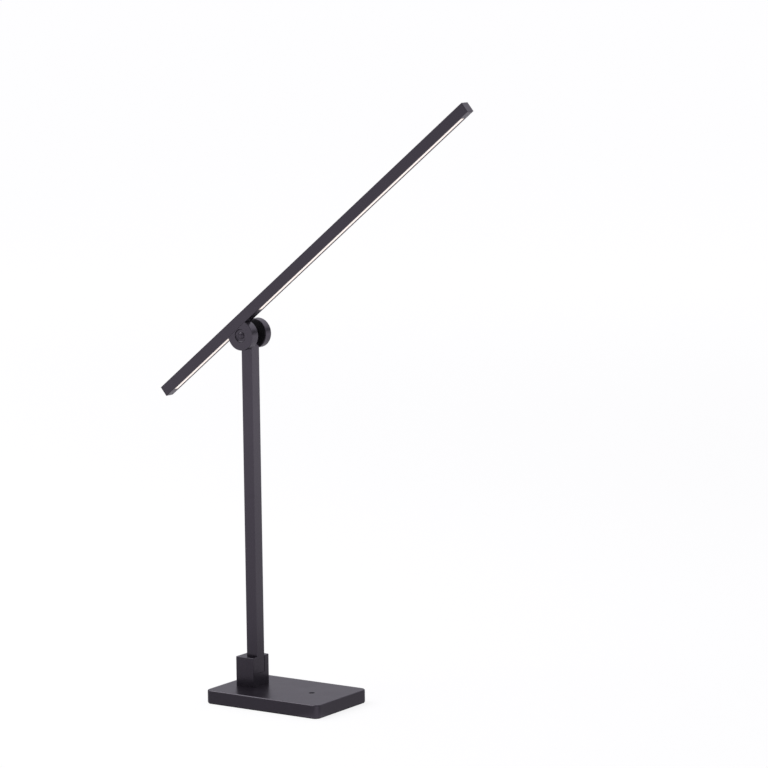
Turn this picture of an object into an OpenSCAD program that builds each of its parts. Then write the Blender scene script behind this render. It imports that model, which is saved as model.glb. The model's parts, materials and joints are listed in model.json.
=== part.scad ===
// Folding LED desk lamp.
// A weighted base carries a clevis block. A square post folds in it, and at the top of the post a square
// light bar tilts between two round discs. Origin: centre of the face that the base rests on. +X is the
// long direction of the base, towards which the post folds, and +Z is up.

/* [Base] */
// Length of the base
base_l = 151; // [145:1:220]
// Width of the base
base_w = 97.5; // [80:0.5:140]
// Height of the base shell, without the pad
base_h = 14.3; // [13:0.1:20]
// Radius of the base's upright corners
base_corner_r = 7; // [3:0.1:8]
// Radius of the rounded edge round the top of the base
base_edge_r = 1.5; // [0.4:0.1:2]
// Wall of the base shell
base_wall = 3; // [2.5:0.1:4]
// Thickness of the steel cover under the base
cover_t = 1.5; // [1:0.1:2]
// How far the soft pad lifts the base shell
pad_t = 1; // [0.6:0.1:3]
// How far the pad stays inside the outline of the base
pad_inset = 0.8; // [0.5:0.1:5]
// Diameter of the touch key
touch_d = 6.5; // [5:0.1:12]
// Distance of the touch key from the long end of the base
touch_from_end = 41; // [25:0.5:50]

/* [Hinge block] */
// Length of the block, along the base
block_l = 23.7; // [22:0.1:32]
// Height of the block above the base
block_h = 33.6; // [30:0.1:40]
// Thickness of each cheek of the block
cheek_t = 7.75; // [6:0.05:10]
// Radius of the block's upright edges
block_edge_r = 0.8; // [0.6:0.1:3]
// Distance of the post's axis from the short end of the base
post_from_end = 34.5; // [30:0.5:42]
// Height of the fold pivot above the base
fold_h = 22; // [20:0.1:26]

/* [Post] */
// Width of the square post
post_w = 14; // [13:0.1:18]
// Radius of the post's edges
post_edge_r = 0.5; // [0.3:0.1:2]
// Wall of the post tube
tube_wall = 1.5; // [1:0.1:2]
// Distance between the fold pivot and the tilt pivot
post_span = 372; // [200:1:500]
// Length of the spigots inside the tube
spigot_l = 20; // [12:1:40]

/* [Light bar] */
// Reach of the long arm from the tilt pivot
arm_long = 389.6; // [220:0.1:500]
// Reach of the short arm from the tilt pivot
arm_short = 126.8; // [80:0.1:200]
// Width and height of the square bar
bar_w = 12; // [11.5:0.1:16]
// Side wall of the bar's channel
bar_wall = 1.2; // [1:0.1:1.5]
// Back wall of the bar's channel
bar_back = 1.6; // [1.4:0.1:2]
// Radius of the bar's edges
bar_edge_r = 0.5; // [0.2:0.1:1]
// Gap between the post and the underside of the bar when the two lie side by side
bar_gap = 1; // [0.5:0.1:4]
// Thickness of the end cap's plate
cap_plate_t = 1.5; // [1:0.1:3]
// Length of the end frames past the light windows
frame_l = 12; // [8:0.1:20]
// Reach of the blank plate on the short arm, from the tilt pivot
blank_short = 17.8; // [17:0.1:30]
// Reach of the blank plate on the long arm, from the tilt pivot
blank_long = 36.4; // [20:0.1:60]
// Angle of the long arm above level, as the lamp stands
tilt_rest = 39.2; // [0:0.1:85]

/* [Tilt hinge] */
// Diameter of the two discs
disc_d = 32.8; // [28:0.2:40]
// Thickness of the front disc
lug_t = 11; // [10:0.1:14]
// Thickness of the rear disc
rear_t = 9.8; // [9.6:0.1:14]
// Gap between each disc and the post head
disc_gap = 0.4; // [0.3:0.05:1]
// Bevel round the edges of the discs
disc_bevel = 0.6; // [0.2:0.1:1]
// Diameter of the counterbore in the front disc
head_recess_d = 14.4; // [13:0.1:18]
// Depth of the counterbore in the front disc
head_recess_depth = 1.8; // [1:0.1:2.5]

/* [Fasteners and fits] */
// Diameter of both pivot bolts
pivot_d = 6; // [5:0.1:6]
// Radial clearance of a pivot bolt in its bore
pivot_fit = 0.05; // [0.02:0.01:0.1]
// Radial clearance of a screw in its hole
screw_fit = 0.05; // [0.02:0.01:0.1]
// Clearance round pieces that are placed in a pocket
pocket_fit = 0.3; // [0.1:0.05:0.5]
// Clearance of pieces that slide into the bar's channel
slide_fit = 0.1; // [0.05:0.01:0.2]

/* [Hidden] */
$fn = 64;

// A small length by which cutting tools run past the faces that they cut
past = 1;

// Heights in the base
base_top = pad_t + base_h;
cavity_top = base_top - base_wall;
cover_top = pad_t + cover_t;
cavity_l = base_l - 2 * base_wall;
cavity_w = base_w - 2 * base_wall;
cavity_corner_r = max(base_corner_r - base_wall, 1);
pad_corner_r = max(base_corner_r - pad_inset, 1);

// Corner screws of the bottom cover
cover_screw_r = 1.5;
cover_head_r = 2.9;
cover_head_h = 1.4;
cover_screw_l = 7;
boss_r = 3.5;
boss_inset = base_wall + 5;
boss_x = base_l / 2 - boss_inset;
boss_y = base_w / 2 - boss_inset;

// Touch key
touch_r = touch_d / 2;
touch_x = base_l / 2 - touch_from_end;
touch_sink = 0.2;
touch_bevel = 0.4;
touch_flange_r = touch_r + 1.6;
touch_flange_t = 1;
electrode_r = touch_r - 0.4;
electrode_t = 1.5;
touch_board_l = 18;
touch_board_t = 1.2;
touch_board_top = cavity_top - touch_flange_t - electrode_t;

// Post axis and hinge block
axis_x = -base_l / 2 + post_from_end;
bar_offset = post_w / 2 + bar_gap;
fold_z = base_top + fold_h;
fold_side_gap = 0.15;
slot_half = post_w / 2 + fold_side_gap;
block_w = 2 * (slot_half + cheek_t);
bar_side_gap = 0.7;
block_reach = bar_offset - bar_side_gap;
block_x1 = axis_x + block_reach;
block_x0 = block_x1 - block_l;
block_mid = (block_x0 + block_x1) / 2;
block_top = base_top + block_h;
block_edge_bevel = 0.5;
stop_gap = 0.1;
slot_floor = fold_z - post_w / 2 - stop_gap;
heel_gap = 0.2;
heel_sweep_r = sqrt(2) * post_w / 2 + heel_gap;
stop_x = axis_x - post_w / 2 - stop_gap;

// Screws from the base into the hinge block
block_screw_r = 2;
block_screw_head_r = 3.8;
block_screw_head_h = 2.4;
block_screw_l = 13;
block_screw_y = slot_half + cheek_t / 2;

// Leads
lead_r = 1.4;
lead_way_r = 1.9;
thin_lead_r = 0.8;
lead_z = cavity_top - 2.2;
lead_x = axis_x - post_w / 2 + 2;

// Power inlet in the short end of the base
inlet_z = (pad_t + base_top) / 2 - 0.3;
inlet_nose_r = 4;
inlet_sink = 0.2;
inlet_bore_r = 2.85;
inlet_depth = 9.5;
inlet_pin_r = 1;
inlet_pin_sink = 1.5;
inlet_l = 13;
inlet_w = 9;
inlet_h = 8.8;
inlet_x0 = -base_l / 2;
inlet_x1 = inlet_x0 + base_wall + inlet_l;

// Driver board
driver_l = 44;
driver_w = 26;
driver_board_t = 1.6;
driver_floor = 2;
driver_x0 = block_x1 + 4;
driver_x1 = driver_x0 + driver_l;
driver_z = cover_top + driver_floor;
driver_top = driver_z + driver_board_t;
plug_l = 5;
plug_half_w = 4.6;
thin_plug_half_w = 2;

// Lead routes in the base
trench_half = 4.5;
inlet_lead_y = -2.4;
post_lead_y = 2;
touch_lead_z = touch_board_top + thin_lead_r;
touch_lead_l = 2;

// Fold pivot
pivot_r = pivot_d / 2;
pivot_bore_r = pivot_r + pivot_fit;
fold_recess_r = 5.2;
fold_recess_depth = 3.4;
fold_blind = 4.8;
fold_head_r = 4.6;
fold_head_h = 2;
fold_cap_t = 0.8;
fold_spring_h = 0.5;
fold_washer_r = 6.2;
washer_t = 0.55;
washer_gap = 0.05;
washer_seat_y = post_w / 2 + washer_t + 2 * washer_gap;
cheek_face = block_w / 2;
fold_seat_y = cheek_face - fold_recess_depth;

// Post
foot_seam = 9;
head_seam = 12;
tilt_z = fold_z + post_span;
tube_inner = post_w - 2 * tube_wall;
spigot_w = tube_inner - 0.2;
grub_r = 1.5;
grub_l = 4;
grub_sink = 0.1;
lead_end_depth = 4;
grub_heights = [foot_seam + spigot_l / 2, post_span - head_seam - spigot_l / 2];
post_lead_x = -tube_inner / 2 + lead_r + 0.2;

// Bar, in its own frame: origin at the tilt pivot, X along the long arm, Z out of the bar's back
bar_front = -post_w / 2 - disc_gap - lug_t;
bar_mid_y = bar_front + bar_w / 2;
bar_low = bar_offset;
bar_high = bar_offset + bar_w;
channel_x0 = -arm_short + cap_plate_t;
channel_x1 = arm_long - cap_plate_t;
lip_h = 0.8;
lip_w = 1.3;
inner_half = bar_w / 2 - bar_wall;
mouth_half = inner_half - lip_w;
channel_roof = bar_high - bar_back;

// Light source
board_t = 1;
board_half = inner_half - 0.4;
led_w = 2.8;
led_l = 3.5;
led_t = 0.8;
led_pitch = 10;
diffuser_recess = 0.5;
wing_t = 1;
board_end_gap = 0.5;
long_x0 = blank_long;
long_x1 = arm_long - frame_l;
short_x0 = -arm_short + frame_l;
short_x1 = -blank_short;
bar_lead_l = 4;
bar_lead_y = bar_mid_y + inner_half - 1.5;
bar_lead_z = channel_roof - board_t - led_t - thin_lead_r;

// Tilt hinge
disc_r = disc_d / 2;
lug_back = bar_front + lug_t;
lug_root_half_l = 13;
lug_screw_x = 8;
lug_screw_r = 1.5;
lug_screw_head_r = 2.8;
lug_screw_head_h = 1.3;
lug_screw_l = 7;
pad_t_tilt = 0.8;
pad_proud = disc_gap - 0.05;
pad_front_r = bar_offset - 0.5;
pad_rear_r = disc_r - 1.4;
head_r = 3.8;
head_h = 2;
head_crown = 1.2;
rear_front = post_w / 2 + disc_gap;
rear_back = rear_front + rear_t;
rear_recess_r = 8;
rear_cap_t = 1;
nut_h = 3;
nut_r = 5.7;
spring_h = 0.6;
spring_t = 0.35;
spring_r = rear_recess_r - 1;
spring_stack = 2 * spring_h;
rear_seat = rear_back - rear_cap_t - 0.1 - nut_h - spring_stack;

// Colours
charcoal = [0.27, 0.26, 0.28];
black_plastic = [0.08, 0.08, 0.09];
steel = [0.62, 0.63, 0.65];
iron = [0.35, 0.35, 0.36];
pad_grey = [0.12, 0.12, 0.12];
board_green = [0.10, 0.35, 0.20];
board_white = [0.92, 0.92, 0.90];
led_yellow = [0.98, 0.86, 0.45];
opal = [0.98, 0.96, 0.90];
lead_black = [0.10, 0.10, 0.10];
bronze = [0.72, 0.53, 0.30];

// ---- Shapes used by several pieces ----

// Rounded rectangle, centred
module rounded_rect(l, w, r) {
    square([l - 2 * r, w], center = true);
    square([l, w - 2 * r], center = true);
    for (sx = [-1, 1], sy = [-1, 1])
        translate([sx * (l / 2 - r), sy * (w / 2 - r)])
            circle(r);
}

// Upright plate with rounded corners, centred in X and Y, standing on z0
module rounded_plate(l, w, r, z0, z1) {
    translate([0, 0, z0])
        linear_extrude(z1 - z0)
            rounded_rect(l, w, r);
}

// Cylinder along +Y from y0 to y1
module rod_y(r, y0, y1) {
    translate([0, y0, 0])
        rotate([-90, 0, 0])
            cylinder(r = r, h = y1 - y0);
}

// Ring along +Y from y0 to y1
module ring_y(r_out, r_in, y0, y1) {
    difference() {
        rod_y(r_out, y0, y1);
        rod_y(r_in, y0 - past, y1 + past);
    }
}

// Disc along +Y with both edges bevelled
module bevelled_disc_y(r, y0, y1, bevel) {
    translate([0, y0, 0])
        rotate([-90, 0, 0])
            rotate_extrude()
                polygon([
                    [0, 0], [r - bevel, 0], [r, bevel],
                    [r, y1 - y0 - bevel], [r - bevel, y1 - y0], [0, y1 - y0]
                ]);
}

// Cone-shaped disc spring along +Y, thickness t, total height h
module disc_spring_y(r_out, r_in, y0, h, t) {
    translate([0, y0, 0])
        rotate([-90, 0, 0])
            rotate_extrude()
                polygon([[r_in, h - t], [r_out, 0], [r_out, t], [r_in, h]]);
}

// Solid box from one corner to the other
module box(low, high) {
    translate(low)
        cube(high - low);
}

// The four corner positions of the base's screws
module at_bosses() {
    for (sx = [-1, 1], sy = [-1, 1])
        translate([sx * boss_x, sy * boss_y, 0])
            children();
}

// The two screws between base and hinge block
module at_block_screws() {
    for (sy = [-1, 1])
        translate([block_mid, sy * block_screw_y, 0])
            children();
}

// Puts a piece drawn about the fold pivot in its place
module at_fold() {
    translate([axis_x, 0, fold_z])
        children();
}

// Puts a piece drawn about the tilt pivot, upright, in its place
module at_head() {
    translate([axis_x, 0, tilt_z])
        children();
}

// Puts a piece drawn in the bar's own frame in its place
module at_bar() {
    translate([axis_x, 0, tilt_z])
        rotate([0, -tilt_rest, 0])
            children();
}

// ---- Base ----

// Corner of the shell: a cylinder whose upper edge is rounded
module shell_corner() {
    r = base_corner_r;
    e = base_edge_r;
    rotate_extrude()
        polygon(concat(
            [[0, pad_t], [r, pad_t]],
            [for (a = [0 : 15 : 90]) [r - e + e * cos(a), base_top - e + e * sin(a)]],
            [[0, base_top]]
        ));
}

module shell_outline() {
    hull()
        for (sx = [-1, 1], sy = [-1, 1])
            translate([sx * (base_l / 2 - base_corner_r), sy * (base_w / 2 - base_corner_r), 0])
                shell_corner();
}

module base_housing() {
    color(charcoal)
        difference() {
            union() {
                difference() {
                    shell_outline();
                    rounded_plate(cavity_l, cavity_w, cavity_corner_r, pad_t - past, cavity_top);
                }
                at_bosses()
                    translate([0, 0, cover_top])
                        cylinder(r = boss_r, h = cavity_top - cover_top + past);
            }
            at_bosses()
                translate([0, 0, cover_top - past])
                    cylinder(r = cover_screw_r + screw_fit, h = cover_screw_l - cover_t + 2 * past);
            // Touch key
            translate([touch_x, 0, cavity_top - past])
                cylinder(r = touch_r + screw_fit, h = base_wall + 2 * past);
            translate([touch_x, 0, base_top - touch_bevel])
                cylinder(
                    r1 = touch_r + screw_fit, r2 = touch_r + screw_fit + 2 * touch_bevel,
                    h = 2 * touch_bevel
                );
            // Screws and lead of the hinge block
            at_block_screws()
                translate([0, 0, cavity_top - past])
                    cylinder(r = block_screw_r + screw_fit, h = base_wall + 2 * past);
            translate([lead_x, 0, cavity_top - past])
                cylinder(r = lead_way_r, h = base_wall + 2 * past);
            // Power inlet
            translate([inlet_x0 - past, 0, inlet_z])
                rotate([0, 90, 0])
                    cylinder(r = inlet_nose_r + screw_fit, h = base_wall + 2 * past);
        }
}

// Ballast, with pockets for everything else in the base
module base_weight() {
    gap = pocket_fit;
    top = cavity_top;
    color(iron)
        difference() {
            rounded_plate(cavity_l - 2 * gap, cavity_w - 2 * gap, cavity_corner_r, cover_top, top);
            at_bosses()
                translate([0, 0, cover_top - past])
                    cylinder(r = boss_r + gap, h = top - cover_top + 2 * past);
            // Heads of the hinge block's screws
            at_block_screws()
                translate([0, 0, top - block_screw_head_h - gap])
                    cylinder(r = block_screw_head_r + gap, h = block_screw_head_h + gap + past);
            // Inlet
            box(
                [inlet_x0, -inlet_w / 2 - gap, cover_top - past],
                [inlet_x1 + gap, inlet_w / 2 + gap, top + past]
            );
            // Lead trench from the inlet to the driver
            box(
                [inlet_x1, -trench_half, lead_z - lead_r - gap],
                [driver_x0, trench_half, top + past]
            );
            // Driver
            box(
                [driver_x0 - gap, -driver_w / 2 - gap, driver_z],
                [driver_x1 + gap, driver_w / 2 + gap, top + past]
            );
            // Lead trench from the driver to the touch board
            box(
                [driver_x1, -thin_lead_r - gap, touch_lead_z - thin_lead_r - gap],
                [touch_x - touch_board_l / 2, thin_lead_r + gap, top + past]
            );
            // Touch board
            box(
                [
                    touch_x - touch_board_l / 2 - gap, -touch_board_l / 2 - gap,
                    touch_board_top - touch_board_t
                ],
                [touch_x + touch_board_l / 2 + gap, touch_board_l / 2 + gap, top + past]
            );
        }
}

module bottom_cover() {
    color(steel)
        difference() {
            rounded_plate(
                cavity_l - 2 * pocket_fit, cavity_w - 2 * pocket_fit, cavity_corner_r,
                pad_t, cover_top
            );
            at_bosses()
                translate([0, 0, pad_t - past])
                    cylinder(r = cover_screw_r + screw_fit, h = cover_t + 2 * past);
            at_bosses()
                cover_screw_cone(screw_fit);
        }
}

// Countersink, or the head that lies in it, flush with the cover
module cover_screw_cone(extra) {
    translate([0, 0, pad_t])
        cylinder(r1 = cover_head_r + extra, r2 = cover_screw_r + extra, h = cover_head_h);
}

module bottom_cover_screws() {
    color(steel)
        at_bosses()
            difference() {
                union() {
                    cover_screw_cone(0);
                    translate([0, 0, pad_t])
                        cylinder(r = cover_screw_r, h = cover_screw_l);
                }
                cross_slot(pad_t, 1.5, 0.8);
            }
}

// Cross recess cut upwards from z0
module cross_slot(z0, half, depth) {
    blade_t = 0.6;
    for (a = [0, 90])
        translate([0, 0, z0])
            rotate([0, 0, a])
                cube([2 * half, blade_t, 2 * depth], center = true);
}

module base_pad() {
    color(pad_grey)
        rounded_plate(base_l - 2 * pad_inset, base_w - 2 * pad_inset, pad_corner_r, 0, pad_t);
}

module touch_button() {
    color(black_plastic)
        translate([touch_x, 0, 0]) {
            translate([0, 0, cavity_top - touch_flange_t])
                cylinder(r = touch_flange_r, h = touch_flange_t);
            translate([0, 0, cavity_top - touch_flange_t])
                cylinder(r = touch_r, h = touch_flange_t + base_wall - touch_sink);
        }
}

module touch_electrode() {
    color(pad_grey)
        translate([touch_x, 0, touch_board_top])
            cylinder(r = electrode_r, h = electrode_t);
}

module touch_board() {
    half = touch_board_l / 2;
    color(board_green) {
        box(
            [touch_x - half, -half, touch_board_top - touch_board_t],
            [touch_x + half, half, touch_board_top]
        );
        // Sensor chip
        translate([touch_x + 4.6, -7, touch_board_top])
            cube([3, 3, 1]);
    }
}

// Component on the driver board: its corner from the board's left end and middle, and its size
module on_driver(x, y, size) {
    translate([driver_x0 + x, y, driver_top])
        cube(size);
}

module driver_board() {
    color(board_green)
        box([driver_x0, -driver_w / 2, driver_z], [driver_x1, driver_w / 2, driver_top]);
    color(black_plastic) {
        // Inductor and two chips
        on_driver(8, -12, [8, 7, 4]);
        on_driver(19, -9, [6, 5, 1.5]);
        on_driver(28, -8, [8, 6, 1.5]);
    }
    color(board_white) {
        // Connectors that take the leads
        on_driver(1, -plug_half_w, [plug_l, 2 * plug_half_w, lead_z + lead_r - driver_top]);
        on_driver(
            driver_l - 1 - plug_l, -thin_plug_half_w,
            [plug_l, 2 * thin_plug_half_w, touch_lead_z + thin_lead_r - driver_top]
        );
    }
    // Capacitors
    color(steel)
        for (x = [14, 23])
            translate([driver_x0 + x, 8, driver_top])
                cylinder(r = 3.1, h = 5);
}

// Low-voltage socket: body behind the wall, nose through it, blind bore with a centre pin
module power_inlet() {
    color(black_plastic)
        difference() {
            union() {
                box(
                    [inlet_x0 + base_wall, -inlet_w / 2, cover_top],
                    [inlet_x1, inlet_w / 2, cover_top + inlet_h]
                );
                translate([inlet_x0 + inlet_sink, 0, inlet_z])
                    rotate([0, 90, 0])
                        cylinder(r = inlet_nose_r, h = base_wall);
            }
            translate([inlet_x0 - past, 0, inlet_z])
                rotate([0, 90, 0])
                    cylinder(r = inlet_bore_r, h = inlet_depth + past);
        }
    color(steel)
        translate([inlet_x0 + inlet_pin_sink, 0, inlet_z])
            rotate([0, 90, 0])
                cylinder(r = inlet_pin_r, h = inlet_depth - inlet_pin_sink + past);
}

// Straight lead along +X from x0 to x1
module lead_x_run(r, x0, x1, y, z) {
    translate([x0, y, z])
        rotate([0, 90, 0])
            cylinder(r = r, h = x1 - x0);
}

module base_leads() {
    plug_face = driver_x0 + 1;
    color(lead_black) {
        // Inlet to driver
        lead_x_run(lead_r, inlet_x1, plug_face, inlet_lead_y, lead_z);
        // Driver to post: along the base, across to the middle and up through the hinge block
        lead_x_run(lead_r, lead_x, plug_face, post_lead_y, lead_z);
        for (y = [0, post_lead_y])
            translate([lead_x, y, lead_z])
                sphere(lead_r);
        translate([lead_x, 0, lead_z])
            rod_y(lead_r, 0, post_lead_y);
        translate([lead_x, 0, lead_z])
            cylinder(r = lead_r, h = fold_z - heel_sweep_r - lead_z);
        // Driver to touch board
        lead_x_run(
            thin_lead_r, driver_x1 - 1, touch_x - touch_board_l / 2 + touch_lead_l, 0, touch_lead_z
        );
    }
}

// ---- Hinge block and fold pivot ----

module block_corner() {
    r = block_edge_r;
    b = block_edge_bevel;
    rotate_extrude()
        polygon([[0, base_top], [r, base_top], [r, block_top - b], [r - b, block_top], [0, block_top]]);
}

// Slot for the post, open upwards and towards +X. The heel of the foot swings through its round floor.
module post_slot() {
    box([stop_x, -slot_half, slot_floor], [block_x1 + past, slot_half, block_top + past]);
    intersection() {
        at_fold()
            rod_y(heel_sweep_r, -slot_half, slot_half);
        box([stop_x, -slot_half, fold_z - heel_sweep_r], [block_x1, slot_half, slot_floor + past]);
    }
}

module hinge_block() {
    color(charcoal)
        difference() {
            hull()
                for (x = [block_x0 + block_edge_r, block_x1 - block_edge_r], sy = [-1, 1])
                    translate([x, sy * (block_w / 2 - block_edge_r), 0])
                        block_corner();
            post_slot();
            // Pivot: blind in the front cheek, through and counterbored in the rear one
            at_fold()
                rod_y(pivot_bore_r, -slot_half - fold_blind, cheek_face + past);
            at_fold()
                rod_y(fold_recess_r, fold_seat_y, cheek_face + past);
            // Friction washers
            at_fold()
                rod_y(fold_washer_r + screw_fit, -washer_seat_y, washer_seat_y);
            // Screws and lead
            at_block_screws()
                translate([0, 0, base_top - past])
                    cylinder(r = block_screw_r + screw_fit, h = block_screw_l - base_wall + 1 + past);
            translate([lead_x, 0, base_top - past])
                cylinder(r = lead_way_r, h = slot_floor - base_top + 2 * past);
        }
}

module hinge_block_screws() {
    color(steel)
        at_block_screws()
            difference() {
                union() {
                    translate([0, 0, cavity_top - block_screw_head_h])
                        cylinder(r = block_screw_head_r, h = block_screw_head_h);
                    translate([0, 0, cavity_top - block_screw_head_h])
                        cylinder(r = block_screw_r, h = block_screw_head_h + block_screw_l);
                }
                translate([0, 0, cavity_top - block_screw_head_h - past])
                    cylinder(r = 1.7, h = 1.4 + past, $fn = 6);
            }
}

module fold_bolt() {
    under_head = fold_seat_y + fold_spring_h;
    color(steel)
        at_fold()
            difference() {
                union() {
                    rod_y(fold_head_r, under_head, under_head + fold_head_h);
                    rod_y(pivot_r, -slot_half - fold_blind + 0.1, under_head + fold_head_h / 2);
                }
                // Hexagon socket
                translate([0, under_head + fold_head_h / 2, 0])
                    rotate([-90, 0, 0])
                        cylinder(r = 2, h = fold_head_h, $fn = 6);
            }
}

module fold_friction_washers() {
    color(bronze)
        at_fold()
            for (side = [-1, 1]) {
                near = side * (post_w / 2 + washer_gap);
                far = side * (washer_seat_y - washer_gap);
                ring_y(fold_washer_r, pivot_bore_r, min(near, far), max(near, far));
            }
}

module fold_disc_spring() {
    color(steel)
        at_fold()
            disc_spring_y(fold_head_r - 0.2, pivot_bore_r, fold_seat_y, fold_spring_h, 0.3);
}

module fold_bolt_cap() {
    color(black_plastic)
        at_fold()
            rod_y(fold_recess_r - screw_fit, cheek_face - fold_cap_t, cheek_face);
}

// ---- Post ----

// Outer section of the post
module post_section() {
    rounded_rect(post_w, post_w, post_edge_r);
}

module post_tube() {
    color(charcoal)
        at_fold()
            difference() {
                translate([0, 0, foot_seam])
                    linear_extrude(post_span - foot_seam - head_seam)
                        difference() {
                            post_section();
                            square(tube_inner, center = true);
                        }
                grub_holes(grub_r + screw_fit);
            }
}

module grub_holes(r) {
    for (z = grub_heights)
        translate([0, 0, z])
            rod_y(r, post_w / 2 - tube_wall - past, post_w / 2 + past);
}

// Solid end of the post: round about the pivot, square above, with a spigot in the tube. With a heel, its
// +X side runs straight down to a corner, which closes the slot of the hinge block while the post stands.
module knuckle(seam, heel) {
    half = post_w / 2;
    lead_way = lead_r + 0.2;
    difference() {
        union() {
            intersection() {
                union() {
                    rod_y(half, -half, half);
                    box([-half, -half, 0], [half, half, seam]);
                    if (heel)
                        box([0, -half, -half], [half, half, 0]);
                }
                translate([0, 0, -half])
                    linear_extrude(seam + half)
                        post_section();
            }
            box(
                [-spigot_w / 2, -spigot_w / 2, seam - past],
                [spigot_w / 2, spigot_w / 2, seam + spigot_l]
            );
        }
        rod_y(pivot_bore_r, -half - past, half + past);
        // Way for the lead: a groove in the spigot and a pocket below it
        box(
            [-half, -lead_way, seam],
            [post_lead_x + lead_way, lead_way, seam + spigot_l + past]
        );
        box(
            [post_lead_x - lead_way, -lead_way, seam - lead_end_depth],
            [post_lead_x + lead_way, lead_way, seam + past]
        );
        // Grub screw
        translate([0, 0, seam + spigot_l / 2])
            rod_y(grub_r + screw_fit, half - grub_sink - grub_l - 0.2, half + past);
    }
}

module foot_knuckle() {
    color(charcoal)
        at_fold()
            knuckle(foot_seam, heel = true);
}

// The head is turned over, and round all the way about the pivot
module head_knuckle() {
    color(charcoal)
        at_head()
            mirror([0, 0, 1])
                knuckle(head_seam, heel = false);
}

module post_grub_screws() {
    color(steel)
        at_fold()
            for (z = grub_heights)
                translate([0, 0, z])
                    difference() {
                        rod_y(grub_r, post_w / 2 - grub_sink - grub_l, post_w / 2 - grub_sink);
                        translate([0, post_w / 2 - grub_sink - 1.2, 0])
                            rotate([-90, 0, 0])
                                cylinder(r = 0.85, h = 1.2 + past, $fn = 6);
                    }
}

module post_lead() {
    color(lead_black)
        at_fold()
            translate([post_lead_x, 0, foot_seam - lead_end_depth + 0.2])
                cylinder(
                    r = lead_r,
                    h = post_span - foot_seam - head_seam + 2 * (lead_end_depth - 0.2)
                );
}

// ---- Light bar ----

// Cross-section of the channel, X across the bar from its middle, Y up from its underside
module channel_section() {
    difference() {
        translate([0, bar_w / 2])
            rounded_rect(bar_w, bar_w, bar_edge_r);
        translate([-mouth_half, -past])
            square([2 * mouth_half, lip_h + 2 * past]);
        translate([-inner_half, lip_h])
            square([2 * inner_half, bar_w - bar_back - lip_h]);
    }
}

// Extrudes a section along the bar, from x0 to x1
module along_bar(x0, x1) {
    translate([x0, bar_mid_y, bar_low])
        rotate([90, 0, 90])
            linear_extrude(x1 - x0)
                children();
}

module bar_channel() {
    color(charcoal)
        at_bar()
            difference() {
                along_bar(channel_x0, channel_x1)
                    channel_section();
                for (sx = [-1, 1])
                    translate([sx * lug_screw_x, bar_mid_y, channel_roof - past])
                        cylinder(r = lug_screw_r + screw_fit, h = bar_back + 2 * past);
                at_lug_screws()
                    lug_screw_cone(screw_fit);
            }
}

module at_lug_screws() {
    for (sx = [-1, 1])
        translate([sx * lug_screw_x, bar_mid_y, bar_high])
            children();
}

// Countersink, or the head that lies in it, flush with the back of the bar
module lug_screw_cone(extra) {
    translate([0, 0, -lug_screw_head_h])
        cylinder(r1 = lug_screw_r + extra, r2 = lug_screw_head_r + extra, h = lug_screw_head_h);
}

module lug_screws() {
    color(steel)
        at_bar()
            at_lug_screws()
                difference() {
                    union() {
                        lug_screw_cone(0);
                        translate([0, 0, -lug_screw_l])
                            cylinder(r = lug_screw_r, h = lug_screw_l);
                    }
                    translate([0, 0, -0.9])
                        cylinder(r = 1.15, h = 0.9 + past, $fn = 6);
                }
}

// Section of what slides into the mouth of the channel: a foot between the lips, sunk by recess,
// and wings above them
module mouth_section(recess) {
    foot_half = mouth_half - slide_fit;
    wing_half = inner_half - slide_fit;
    translate([-foot_half, recess])
        square([2 * foot_half, lip_h + wing_t - recess]);
    translate([-wing_half, lip_h])
        square([2 * wing_half, wing_t]);
}

// Front disc with its flat seat under the bar, the blank plate in the channel's mouth and the root inside it
module bar_lug() {
    root_half_w = inner_half - slide_fit;
    color(charcoal)
        at_bar()
            difference() {
                union() {
                    intersection() {
                        bevelled_disc_y(disc_r, bar_front, lug_back, disc_bevel);
                        box(
                            [-disc_r - past, bar_front - past, -disc_r - past],
                            [disc_r + past, lug_back + past, bar_low]
                        );
                    }
                    along_bar(-blank_short + slide_fit, blank_long - slide_fit)
                        mouth_section(0);
                    box(
                        [-lug_root_half_l, bar_mid_y - root_half_w, bar_low + lip_h],
                        [lug_root_half_l, bar_mid_y + root_half_w, channel_roof]
                    );
                }
                // Bolt, its counterbore and the pocket of the friction pad
                rod_y(pivot_bore_r, bar_front - past, lug_back + past);
                rod_y(head_recess_d / 2, bar_front - past, bar_front + head_recess_depth);
                rod_y(pad_front_r + screw_fit, lug_back - (pad_t_tilt - pad_proud), lug_back + past);
                // Screws from the back of the bar
                at_lug_screws()
                    translate([0, 0, -lug_screw_l - 0.5])
                        cylinder(r = lug_screw_r + screw_fit, h = lug_screw_l);
                // Way for the lead between the two boards
                translate([-lug_root_half_l - past, bar_lead_y, bar_lead_z])
                    rotate([0, 90, 0])
                        cylinder(r = thin_lead_r + 0.2, h = 2 * lug_root_half_l + 2 * past);
            }
}

// End cap: a plate over the end of the bar and a block that fills the channel past the light window
module end_cap(plate_x, window_x) {
    dir = window_x > plate_x ? 1 : -1;
    seat_x = plate_x + dir * cap_plate_t;
    root_half_w = inner_half - slide_fit;
    along_bar(min(plate_x, seat_x), max(plate_x, seat_x))
        translate([0, bar_w / 2])
            rounded_rect(bar_w, bar_w, bar_edge_r);
    along_bar(min(seat_x, window_x), max(seat_x, window_x)) {
        mouth_section(0);
        translate([-root_half_w, lip_h])
            square([2 * root_half_w, bar_w - bar_back - lip_h - slide_fit]);
    }
}

module end_cap_upper() {
    color(charcoal)
        at_bar()
            end_cap(arm_long, arm_long - frame_l);
}

module end_cap_lower() {
    color(charcoal)
        at_bar()
            end_cap(-arm_short, -arm_short + frame_l);
}

module led_board(x0, x1) {
    box(
        [x0 + board_end_gap, bar_mid_y - board_half, channel_roof - board_t],
        [x1 - board_end_gap, bar_mid_y + board_half, channel_roof]
    );
}

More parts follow.
